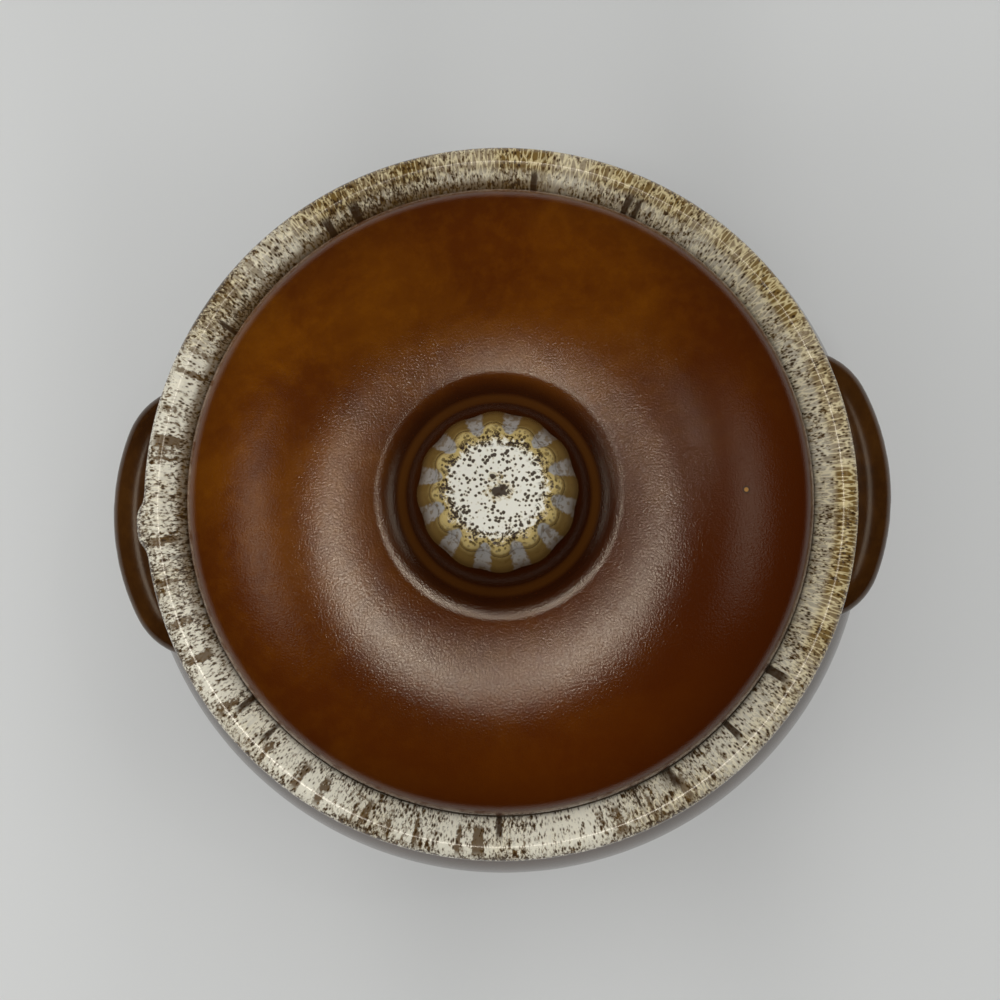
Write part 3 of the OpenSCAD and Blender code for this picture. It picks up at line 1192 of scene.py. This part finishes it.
@dataclass
class Handles:
    """The two lugs, each worked into the shoulder with a thumbed fillet all round."""

    pot: Pot
    reach: float = 11.1
    drop: float = 13.5
    nose: float = 6.0
    fall: float = 1.5
    # Angle on the nose at which the handle's top runs into it
    brow: float = 85.0
    edge: float = 64.0
    # Radius of the rounded ends, seen from above, and the angle along the edge at which they start
    tip: float = 20.0
    tip_turn: float = 24.0
    ease_in: float = 10.5
    # How far under the pot's surface the back of a lug and the front of its patch of wall lie
    root: float = 3.6
    hair: float = 0.35
    neck_gap: float = 0.5
    patch_low: float = 72.0
    patch_size: Triple = (60.0, 110.0, 80.0)
    voxel: float = 0.8
    thumb_strokes: int = 16
    thumb_share: float = 0.5
    nose_steps: int = 24
    line_steps: int = 16
    slab_turns: int = 360
    wall_turns: int = 180

    @property
    def nose_up(self) -> float:
        """Height of the middle of the handle's nose."""
        return self.pot.height - self.drop - self.fall - self.nose

    def nosed(self) -> list[Point]:
        """Draws half the section of a round slab with a rounded edge.

        Returns:
            The line from the top of its axis to the bottom.
        """
        middle = (self.edge - self.ease_in, self.nose_up)
        edge = oval(middle, self.ease_in, self.nose, self.brow, DOWN, self.nose_steps)
        return [(0.0, self.pot.height - self.drop), *edge, (0.0, self.nose_up - self.nose)]

    def round_ends(self, slab: Piece) -> None:
        """Draws the edge of a round slab in at both ends of the lug and moves it to its place.

        Args:
            slab: The slab, about the upright axis.
        """
        places = corners(slab)
        out = np.hypot(places[:, 0], places[:, 1])
        turn = np.arctan2(places[:, 1], places[:, 0])
        apart = self.edge - self.tip
        past = np.clip(np.abs(turn) - math.radians(self.tip_turn), 0.0, math.asin(self.tip / apart))
        edge = apart * np.cos(past) + np.sqrt(np.clip(self.tip**2 - (apart * np.sin(past)) ** 2, 0.0, None))
        shrunk = out - (self.edge - edge) * np.clip(out / (self.edge - self.ease_in), 0.0, 1.0)
        share = np.divide(shrunk, out, out=np.ones_like(out), where=out > 0.0)
        places[:, :2] *= share[:, None]
        places[:, 0] += self.pot.surface(self.nose_up) + self.reach - self.edge
        reshape(slab, places)

    def lug(self, name: str) -> Piece:
        """Shapes a lug on the right of the pot, fused to a patch of wall so that its join is thumbed smooth.

        Args:
            name: Name of the new piece.

        Returns:
            The lug.
        """
        lug = turned(name, self.nosed(), self.slab_turns)
        self.round_ends(lug)
        combine(lug, self.core(), Combine.CUT)
        combine(lug, self.patch(), Combine.JOIN)
        apply(lug, "REMESH", mode="VOXEL", voxel_size=self.voxel * MM)
        apply(lug, "SMOOTH", factor=self.thumb_share, iterations=self.thumb_strokes)
        return lug

    def wall_line(self, under: float) -> list[Point]:
        """Draws a line up the shoulder behind a lug, a little under the pot's surface.

        Args:
            under: How far under the surface it runs.

        Returns:
            The line, from low to high.
        """
        rise = self.pot.neck[1] - self.neck_gap - self.patch_low
        heights = [self.patch_low + rise * share for share in (0.0, *shares(self.line_steps))]
        return [(self.pot.surface(up) - under, up) for up in heights]

    def core(self) -> Piece:
        """Fills the pot up to the middle of its wall, to cut off what a lug would have inside it."""
        line = self.wall_line(self.root)
        return turned("lug_core", [(0.0, line[0][1]), *line, (0.0, line[-1][1])], self.wall_turns)

    def patch(self) -> Piece:
        """Cuts the piece of wall behind a lug, a hair under the pot's own surface.

        Returns:
            The patch of wall.
        """
        front = self.wall_line(self.hair)
        patch = turned("lug_patch", [*front, *self.wall_line(self.root)[::-1], front[0]], self.wall_turns)
        bpy.ops.object.select_all(action="DESELECT")
        bpy.ops.mesh.primitive_cube_add(size=MM)
        block = bpy.context.object
        middle = np.array([self.pot.lip, 0.0, self.nose_up])
        reshape(block, corners(block) * np.array(self.patch_size) + middle)
        combine(patch, block, Combine.COMMON)
        return patch

    def build(self) -> list[Piece]:
        """Shapes the right lug and copies it to the left.

        Returns:
            The right and the left lug.
        """
        right = self.lug("right_lug")
        left = right.copy()
        left.data = right.data.copy()
        left.name = left.data.name = "left_lug"
        bpy.context.collection.objects.link(left)
        reshape(left, corners(left) * np.array(OTHER_SIDE))
        self.dress(right, left)
        return [right, left]

    def dress(self, right: Piece, left: Piece) -> None:
        """Glazes the lugs brown.

        Args:
            right: The right lug.
            left: The left lug.
        """
        glaze = HandleGlaze("brown glaze on the handles").material()
        for piece, node in ((right, "right_handle"), (left, "left_handle")):
            smooth(piece, SOFT_EDGE)
            piece.data.materials.clear()
            piece.data.materials.append(glaze)
            settle(piece, Body.POT, Slot.BROWN, node)


@dataclass
class RimGlaze:
    """The ivory glaze on the lip, with the drips that have run from it."""

    pot: Pot
    thick: float = 0.7
    band: float = 9.5
    # How far down into the recess the glaze reaches, how it thickens there and how it lies in the wall
    inner_drop: float = 2.0
    inner_round: float = 2.6
    inner_sunk: float = 0.05
    # How the glaze thickens at its lower edge, and how it tucks under the wall past it
    edge_round: float = 1.6
    edge_tuck: float = 0.8
    sunk: float = 0.45
    # Slow waves in the lower edge: height, count round the pot and start in degrees
    waves: tuple[Triple, ...] = ((0.8, 11.0, 40.0), (0.5, 23.0, 190.0))
    drips: int = 36
    drip_long: float = 11.5
    drip_wide: float = 6.0
    # Shortest share of the full length, and the steps in degrees that make lengths and places uneven
    shortest: float = 0.25
    length_step: float = 79.0
    length_start: float = 23.0
    length_power: float = 1.6
    stray: float = 0.3
    stray_step: float = 137.0
    # Angle to each side of a handle's middle that has no drips
    handle_clear: float = 27.0
    # Length of the flare at the root of a drip, and half its width as a share of the drip's
    flare: float = 2.0
    flare_wide: float = 1.9
    # Lump that has run on to the left handle: thickness, place round the pot, half width, rise and length
    lump: float = 4.2
    lump_turn: float = 180.8
    lump_half: float = 3.6
    lump_up: float = 2.7
    lump_long: float = 4.0
    # Power that makes the lump flat on top and steep at its sides
    lump_power: int = 4
    inner_steps: int = 4
    under_steps: int = 5
    shoulder_points: int = 13
    turns: int = 900

    def path(self) -> np.ndarray:
        """Draws the line on the pot that the glaze follows.

        Returns:
            The line from the recess over the lip and down the shoulder, one row for each point.
        """
        lip = self.pot.lip_outline()[::-1]
        shoulder = self.pot.shoulder_outline()[::-1]
        inner = straight((self.pot.recess_out, lip[0][1] - self.inner_drop), lip[0], self.inner_steps)[:-1]
        under = straight(lip[-1], shoulder[0], self.under_steps)
        return np.array(inner + lip + under + shoulder[1 : 1 + self.shoulder_points])

    def build(self) -> Piece:
        """Lays the glaze over the lip and lets it run.

        Returns:
            The coat of glaze.
        """
        path = self.path()
        piece = turned("rim_coat", [tuple(point) for point in path], self.turns)
        places = corners(piece)
        section = np.stack([np.hypot(places[:, 0], places[:, 1]), places[:, 2]], axis=1)
        row = np.argmin(((section[:, None] - path[None]) ** 2).sum(axis=2), axis=1)
        lengths = np.concatenate([[0.0], np.cumsum(np.hypot(*np.diff(path, axis=0).T))])
        slope = np.gradient(path, axis=0)
        slope /= np.hypot(slope[:, 0], slope[:, 1])[:, None]
        turn = np.degrees(np.arctan2(places[:, 1], places[:, 0])) % FULL_TURN
        outwards = np.stack([np.cos(np.radians(turn)), swing(turn)], axis=1)
        depth = self.depth(turn, lengths[row], lengths[self.band_end(path)])
        places[:, :2] -= outwards * (slope[row, 1] * depth)[:, None]
        places[:, 2] += slope[row, 0] * depth
        reshape(piece, places)
        mark(piece, "flow", np.concatenate([outwards * self.pot.lip, lengths[row][:, None]], axis=1) * MM)
        mark(piece, "thick", np.clip(depth / self.thick, 0.0, 1.0))
        self.dress(piece)
        return piece

    def dress(self, piece: Piece) -> None:
        """Gives the coat its ivory glaze.

        Args:
            piece: The coat, with its flow and thickness written on it.
        """
        smooth(piece, SOFT_EDGE)
        piece.data.materials.append(IvoryGlaze().material())
        settle(piece, Body.POT, Slot.IVORY, "rim_glaze")

    def band_end(self, path: np.ndarray) -> int:
        """Finds where the band of glaze ends on the outside of the lip.

        Args:
            path: The line that the glaze follows.

        Returns:
            The number of the line's first point below the band.
        """
        over_lip = np.arange(len(path)) > np.argmax(path[:, 1])
        below = path[:, 1] <= self.pot.height - self.band
        return int(np.flatnonzero(over_lip & below)[0])

    def drip(self, number: int) -> Point:
        """Works out one of the drips, which are uneven in place and length.

        Args:
            number: Number of the drip.

        Returns:
            Its place round the pot, in degrees, and its length.
        """
        middle = (number + self.stray * swing(number * self.stray_step)) * FULL_TURN / self.drips
        uneven = abs(swing(number * self.length_step + self.length_start)) ** self.length_power
        return middle, self.drip_long * (self.shortest + (1.0 - self.shortest) * uneven)

    def lower_edge(self, turn: np.ndarray, start: float) -> np.ndarray:
        """Works out how far down the glaze has run.

        Args:
            turn: Angle of each point round the pot, in degrees.
            start: Distance along the line at which the band ends.

        Returns:
            The distance along the line at which the glaze ends at each point.
        """
        edge = start + sum(height * swing(turn * count + first) for height, count, first in self.waves)
        half = self.drip_wide / 2.0
        for middle, length in map(self.drip, range(self.drips)):
            if abs(swing(middle)) < swing(self.handle_clear):
                continue
            aside = np.abs(np.radians(turned_from(turn, middle)) * self.pot.neck[0]) / half
            tongue = length + half * np.sqrt(np.clip(1.0 - aside**2, 0.0, 1.0))
            flare = self.flare * ease((self.flare_wide - aside) / (self.flare_wide - 1.0))
            edge = np.maximum(edge, start + np.where(aside < 1.0, tongue, flare))
        return edge

    def depth(self, turn: np.ndarray, along: np.ndarray, start: float) -> np.ndarray:
        """Works out how thick the glaze is, and where it dips under the wall and ends.

        Args:
            turn: Angle of each point round the pot, in degrees.
            along: Distance of each point along the line that the glaze follows.
            start: Distance along the line at which the band ends.

        Returns:
            The thickness at each point, below zero where there is no glaze.
        """
        left = self.lower_edge(turn, start) - along
        outer = self.thick * ease(left / self.edge_round) - self.sunk * ease(-left / self.edge_tuck)
        inner = self.thick * ease(along / self.inner_round) - self.inner_sunk
        lump = hump(turned_from(turn, self.lump_turn) / self.lump_half, self.lump_power)
        lump = lump * hump((along - start + self.lump_up) / self.lump_long)
        return np.where(along < self.inner_round, inner, outer) + self.lump * lump


@dataclass
class Lid:
    """The domed lid with its locating flange."""

    pot: Pot
    gap: float = 1.3
    edge: float = 9.0
    edge_round: float = 2.0
    shoulder: float = 9.0
    tilt: float = 25.0
    crest: float = 43.0
    dip: float = 0.7
    dip_out: float = 31.5
    cove: float = 13.3
    cove_turn: float = 75.0
    thick: float = 6.0
    flange: float = 7.0
    flange_thick: float = 4.5
    flange_gap: float = 1.5
    # Slope of the lid's inside corner
    corner_wide: float = 3.0
    corner_high: float = 7.0
    # Steps in the outline's stretches and round the axis
    edge_steps: int = 10
    round_steps: int = 24
    dome_steps: int = 40
    under_steps: int = 12
    turns: int = 256

    @property
    def out(self) -> float:
        """Radius of the lid."""
        return self.pot.recess_out - self.gap

    @property
    def brow(self) -> Point:
        """Place where the shoulder runs into the dome."""
        middle = (self.out - self.shoulder, self.pot.ledge_up + self.edge)
        return arc(middle, self.shoulder, UP - self.tilt, UP, 1)[0]

    @property
    def dome(self) -> float:
        """Radius of the dome's arc."""
        return (self.brow[0] - self.crest) / math.sin(math.radians(self.tilt))

    @property
    def crest_up(self) -> float:
        """Height of the ring where the dome is highest."""
        return self.brow[1] + self.dome * (1.0 - math.cos(math.radians(self.tilt)))

    @property
    def dip_up(self) -> float:
        """Height of the bottom of the dip round the knob."""
        return self.crest_up - self.dip

    def cove_outline(self) -> list[Point]:
        """Draws the cove round the knob.

        Returns:
            The line from the dip up to the edge of the face that the knob sits on.
        """
        centre = (self.dip_out, self.dip_up + self.cove)
        down = FULL_TURN + DOWN
        return arc(centre, self.cove, down, down - self.cove_turn, self.round_steps)

    @property
    def knob_seat(self) -> Point:
        """Edge of the face that the knob sits on."""
        return self.cove_outline()[-1]

    def outline(self) -> list[Point]:
        """Draws the section of the lid.

        Returns:
            The closed line from its seat over the dome to the middle and back underneath.
        """
        seat = self.pot.ledge_up
        flange_out = self.pot.throat - self.flange_gap
        flange_in = flange_out - self.flange_thick
        centre = (self.crest, self.crest_up - self.dome)
        inside = self.dome - self.thick
        under_tilt = math.degrees(math.asin((flange_in - self.corner_wide - self.crest) / inside))
        under = arc(centre, inside, UP, UP - under_tilt, self.under_steps)
        edge_centre = (self.out - self.edge_round, seat + self.edge_round)
        shoulder_centre = (self.out - self.shoulder, seat + self.edge)
        dip_wide = self.dip_out - self.crest
        dip = [
            (self.crest + dip_wide * s, self.crest_up - self.dip * s * s)
            for s in shares(self.round_steps)
        ]
        return [
            (flange_out, seat),
            *arc(edge_centre, self.edge_round, DOWN, LEVEL, self.edge_steps),
            *arc(shoulder_centre, self.shoulder, LEVEL, UP - self.tilt, self.round_steps),
            *arc(centre, self.dome, UP - self.tilt, UP, self.dome_steps)[1:],
            *dip,
            *self.cove_outline()[1:],
            (0.0, self.knob_seat[1]),
            (0.0, self.dip_up - self.thick),
            *under,
            (flange_in, under[-1][1] - self.corner_high),
            (flange_in, seat - self.flange),
            (flange_out, seat - self.flange),
            (flange_out, seat),
        ]

    def build(self) -> Piece:
        """Turns the lid.

        Returns:
            The lid with its glaze.
        """
        piece = turned("lid_dome", self.outline(), self.turns)
        self.dress(piece)
        return piece

    def dress(self, piece: Piece) -> None:
        """Glazes the lid brown.

        Args:
            piece: The lid.
        """
        smooth(piece)
        piece.data.materials.append(LidGlaze("brown glaze on the lid").material())
        settle(piece, Body.LID, Slot.BROWN, "lid")


@dataclass
class Knob:
    """The fluted knob: a brown core and the ivory glaze on it."""

    lid: Lid
    skirt: float = 19.8
    height: float = 18.0
    top: float = 11.5
    shoulder: float = 4.6
    stem: float = 1.5
    skirt_up: float = 3.5
    skirt_round: float = 1.2
    dimple: float = 0.6
    glaze: float = 0.7
    # Height of the knob that the ivory glaze leaves brown, and how the glaze laps in under its lower edge
    brown: float = 4.4
    lap_in: float = 0.4
    lap_up: float = 0.3
    flutes: int = 12
    flute_deep: float = 1.2
    flute_power: float = 1.3
    # Where flutes begin on the shoulder, as a share of it, and on the stem, and how they deepen upwards
    flute_start: float = 0.9
    stem_fade: float = 2.0
    skirt_press: float = 0.45
    press_rise: float = 8.0
    # Distance down that the glaze reads: at the edge of the top, and gained in a millimetre of the side
    top_down: float = 0.4
    side_down: float = 0.02
    # Beads at the heads of the ribs: size, place and width as distance down, and lift as a share of the size
    bead: float = 0.6
    bead_down: float = 0.48
    bead_wide: float = 0.06
    bead_lift: float = 0.6
    # Radius of the middle that stays as it is
    hub: float = 1.0
    # Steps in the outline's stretches and round the axis
    stem_steps: int = 4
    skirt_steps: int = 10
    side_steps: int = 24
    brow_steps: int = 20
    top_steps: int = 16
    turns: int = 288

    def outline(self, shy: float) -> list[Point]:
        """Draws the knob from its seat over the skirt to the middle of its top.

        Args:
            shy: How far it lies under the glaze.

        Returns:
            The outline.
        """
        out, up = self.lid.knob_seat
        low = (out, up + self.stem)
        skirt_centre = (self.skirt - self.skirt_round, up + self.skirt_up + self.skirt_round)
        skirt = arc(skirt_centre, self.skirt_round - shy, DOWN, LEVEL, self.skirt_steps)
        brow_centre = (self.top, up + self.height - self.shoulder)
        brow = arc(brow_centre, self.shoulder - shy, LEVEL, UP, self.brow_steps)
        edge, high = brow[-1]
        dish = [
            (edge * (1.0 - s), high - self.dimple * (1.0 - math.cos(math.pi * s)) / 2.0)
            for s in shares(self.top_steps)
        ]
        return [
            (0.0, up),
            (out, up),
            low,
            *straight(low, skirt[0], self.stem_steps)[:-1],
            *skirt,
            *straight(skirt[-1], brow[0], self.side_steps),
            *brow[1:],
            *dish,
        ]

    def flute(self, piece: Piece) -> tuple[np.ndarray, np.ndarray]:
        """Presses the flutes into the side of the knob and raises the beads at the heads of its ribs.

        Args:
            piece: The knob as turned.

        Returns:
            For each vertex, how far into a flute it is and how far down from the middle of the top.
        """
        up = self.lid.knob_seat[1]
        level = self.height - self.shoulder
        places = corners(piece)
        out = np.hypot(places[:, 0], places[:, 1])
        above = places[:, 2] - up
        turn = np.arctan2(places[:, 1], places[:, 0])
        flute = ((1.0 - np.cos(turn * self.flutes)) / 2.0) ** self.flute_power
        side = ease((out - self.top) / (self.shoulder * self.flute_start))
        side = side * ease((above - self.stem) / self.stem_fade)
        down = self.top_down / self.top * np.where(above > level, out, self.top + self.shoulder)
        down = down + self.side_down * np.clip(level - above, 0.0, level)
        rise = ease((above - self.skirt_up) / self.press_rise)
        press = self.flute_deep * flute * side * (self.skirt_press + (1.0 - self.skirt_press) * rise)
        bead = self.bead * (1.0 - flute) * hump((down - self.bead_down) / self.bead_wide)
        lifted = places[:, 2] + self.bead_lift * bead * (above > level)
        places[:, 2] = np.minimum(lifted, up + self.height)
        drawn_in = np.where(out > self.hub, (press - bead) / np.maximum(out, self.hub), 0.0)
        places[:, :2] *= 1.0 - drawn_in[:, None]
        reshape(piece, places)
        return flute * side, down

    def build(self) -> list[Piece]:
        """Shapes the knob and its coat of glaze.

        Returns:
            The core and the coat.
        """
        core = turned("knob_core", self.outline(self.glaze), self.turns)
        self.flute(core)
        coat = self.coat()
        self.dress(core, coat)
        return [core, coat]

    def dress(self, core: Piece, coat: Piece) -> None:
        """Glazes the core brown and gives the coat its ivory glaze.

        Args:
            core: The knob under its glaze.
            coat: The coat, with its flutes and distance down written on it.
        """
        for piece, glaze, slot, node in (
            (core, BrownGlaze("brown glaze on the knob"), Slot.BROWN, "knob"),
            (coat, KnobGlaze(), Slot.IVORY, "knob_glaze"),
        ):
            smooth(piece)
            piece.data.materials.append(glaze.material())
            settle(piece, Body.LID, slot, node)

    def coat(self) -> Piece:
        """Lays the ivory glaze over the top and sides of the knob.

        Returns:
            The coat of glaze.
        """
        up = self.lid.knob_seat[1]
        outside = [point for point in self.outline(0.0) if point[1] >= up + self.brown]
        inside = (outside[0][0] - self.glaze - self.lap_in, outside[0][1] + self.lap_up)
        coat = turned("knob_coat", [inside, *outside], self.turns)
        flute, down = self.flute(coat)
        mark(coat, "flute", flute)
        mark(coat, "down", down)
        return coat


# Where it is shown


@dataclass(frozen=True)
class Lamp:
    """A soft light that faces the pot.

    It leans to the right of straight up and to the back by two angles, and hangs so many metres from the lip.
    Its width and depth are angles as seen from there, and the glow is the brightness of its face.
    """

    name: str
    aside: float
    forward: float
    away: float
    size: Point
    glow: float

    def hang(self, target: Vector) -> None:
        """Hangs the light.

        Args:
            target: Place that it faces.
        """
        lamp = bpy.data.lights.new(self.name, "AREA")
        lamp.shape = "ELLIPSE"
        wide, deep = (2.0 * math.tan(math.radians(angle) / 2.0) for angle in self.size)
        lamp.size = self.away * wide
        lamp.size_y = self.away * deep
        face = math.pi / 4.0 * lamp.size * lamp.size_y
        lamp.energy = self.glow * math.pi * face
        holder = bpy.data.objects.new(self.name, lamp)
        bpy.context.collection.objects.link(holder)
        leans = (math.tan(math.radians(angle)) for angle in (self.aside, self.forward))
        lean = Vector((*leans, 1.0)).normalized()
        across = Vector((0.0, 1.0, 0.0)).cross(lean).normalized()
        turn = Matrix((across, lean.cross(across), lean)).transposed().to_4x4()
        holder.matrix_world = Matrix.Translation(target + lean * self.away) @ turn


@dataclass
class Studio:
    """Pale floor, soft lights and the camera above the pot."""

    # Camera: the height that it looks at, its place from there, its roll, and its focal length in pixels
    lip_up: float = 112.0
    distance: float = 420.0
    south: float = 24.0
    east: float = 7.0
    roll: float = 3.4
    focal: float = 1583.0
    pixels: float = 1000.0
    sensor: float = 36.0
    nearest: float = 0.01
    # Dark back of the camera: its place from the lens and its size
    card_at: Triple = (-19.0, -12.0, 25.0)
    card_size: Triple = (82.0, 205.0, 12.0)
    card: Colour = (0.01, 0.01, 0.01)
    card_dull: float = 0.9
    # Floor, with its width in metres
    floor: Colour = (0.71, 0.71, 0.695)
    floor_dull: float = 0.6
    floor_wide: float = 6.0
    # Light from all round: strength, colour, how much more comes from one side, and strength where mirrored
    fill: float = 0.45
    air: Colour = (0.97, 0.99, 1.0)
    uneven: float = 0.65
    bright_side: Triple = (-0.3, 0.95, 0.0)
    dim: float = 0.01
    # Seven small lamps overhead: the angles of the middle one, and of the six from it
    middle_lamp: Point = (-3.0, -6.0)
    ring_turn: float = 8.0
    ring_first: float = 30.0
    ring_last: float = 330.0
    ring_steps: int = 5

    @property
    def target(self) -> Vector:
        """Place that the camera and the lamps face, in metres."""
        return Vector((0.0, 0.0, self.lip_up * MM))

    def coloured(self, name: str, colour: Colour, dull: float) -> bpy.types.Material:
        """Gives a plain material for what isn't part of the pot."""
        return Recipe(name).finish({"Base Color": (*colour, 1.0), "Roughness": dull})

    def lay_floor(self) -> None:
        """Lays a plain pale floor."""
        bpy.ops.object.select_all(action="DESELECT")
        bpy.ops.mesh.primitive_plane_add(size=self.floor_wide)
        floor = bpy.context.object
        floor.name = "floor"
        floor.data.materials.append(self.coloured("pale floor", self.floor, self.floor_dull))

    def light_round(self) -> None:
        """Lights the pot softly from all round, more from one side, and dimly where the glaze mirrors it."""
        world = bpy.data.worlds.new("soft light")
        world.use_nodes = True
        round_light = Nodes(world.node_tree)
        place = round_light.put("ShaderNodeTexCoord").outputs["Generated"]
        soft = round_light.put("ShaderNodeMapRange", {
            "Value": round_light.towards(place, self.bright_side),
            "From Min": -1.0,
            "To Min": self.fill * (1.0 - self.uneven),
            "To Max": self.fill * (1.0 + self.uneven),
        })
        level = round_light.put("ShaderNodeMapRange", {
            "Value": round_light.put("ShaderNodeLightPath").outputs["Is Glossy Ray"],
            "To Min": soft.outputs["Result"],
            "To Max": self.dim,
        })
        face = world.node_tree.nodes["Background"]
        round_light.feed(face.inputs["Strength"], level.outputs["Result"])
        round_light.feed(face.inputs["Color"], (*self.air, 1.0))
        bpy.context.scene.world = world

    def hang_lamps(self) -> None:
        """Hangs the small lamps in a cluster, a large one over them, one at each side and one in line."""
        aside, forward = self.middle_lamp
        ring = arc(self.middle_lamp, self.ring_turn, self.ring_first, self.ring_last, self.ring_steps)
        lamps = [
            Lamp(f"spot_{i}", aside=lean[0], forward=lean[1], away=1.3, size=(3.4, 3.4), glow=44.0)
            for i, lean in enumerate([self.middle_lamp, *ring])
        ]
        lamps += [
            Lamp("overhead", aside=aside, forward=forward, away=1.32, size=(23.0, 23.0), glow=5.0),
            Lamp("east", aside=40.0, forward=0.0, away=1.2, size=(7.0, 32.0), glow=1.8),
            Lamp("west", aside=-40.0, forward=0.0, away=1.2, size=(7.0, 32.0), glow=2.6),
            Lamp("line", aside=21.0, forward=10.0, away=1.2, size=(3.0, 3.0), glow=22.0),
        ]
        for lamp in lamps:
            lamp.hang(self.target)

    def shade(self, eye: Vector) -> None:
        """Puts the dark back of the camera above the lens, where the glaze mirrors it.

        Args:
            eye: Place of the lens.
        """
        bpy.ops.object.select_all(action="DESELECT")
        bpy.ops.mesh.primitive_cube_add(size=MM, location=eye + Vector(self.card_at) * MM)
        back = bpy.context.object
        back.name = "camera_back"
        back.scale = self.card_size
        bpy.ops.object.transform_apply(location=False, rotation=False, scale=True)
        back.data.materials.append(self.coloured("camera black", self.card, self.card_dull))
        back.visible_camera = False

    def aim(self) -> None:
        """Puts the camera above the pot, a little to the front of its axis."""
        turn = math.radians(self.roll)
        right = Vector((math.cos(turn), -math.sin(turn), 0.0))
        front = Vector((-math.sin(turn), -math.cos(turn), 0.0))
        eye = self.target + (front * self.south + right * self.east + Vector((0.0, 0.0, self.distance))) * MM
        look = (self.target - eye).normalized()
        over = right.cross(look).normalized()
        across = look.cross(over).normalized()
        camera = bpy.data.cameras.new("camera")
        camera.sensor_width = self.sensor
        camera.lens = self.sensor * self.focal / self.pixels
        camera.clip_start = self.nearest
        holder = bpy.data.objects.new("camera", camera)
        bpy.context.collection.objects.link(holder)
        holder.matrix_world = Matrix.Translation(eye) @ Matrix((across, over, -look)).transposed().to_4x4()
        bpy.context.scene.camera = holder
        self.shade(eye)

    def build(self) -> None:
        """Sets up the floor, the lights, the camera and the plain view of colours."""
        self.lay_floor()
        self.light_round()
        self.hang_lamps()
        self.aim()
        bpy.context.scene.view_settings.view_transform = "Standard"


def note_sizes() -> None:
    """Brings the scene's layer up to date."""
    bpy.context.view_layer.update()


def main() -> None:
    """Builds the pot and the lid, then the place they are shown in."""
    logging.basicConfig(level=logging.INFO, format="%(name)s: %(message)s")
    pot = Pot()
    pot.build()
    Handles(pot).build()
    RimGlaze(pot).build()
    lid = Lid(pot)
    lid.build()
    Knob(lid).build()
    Studio().build()
    note_sizes()


if __name__ == "__main__":
    main()
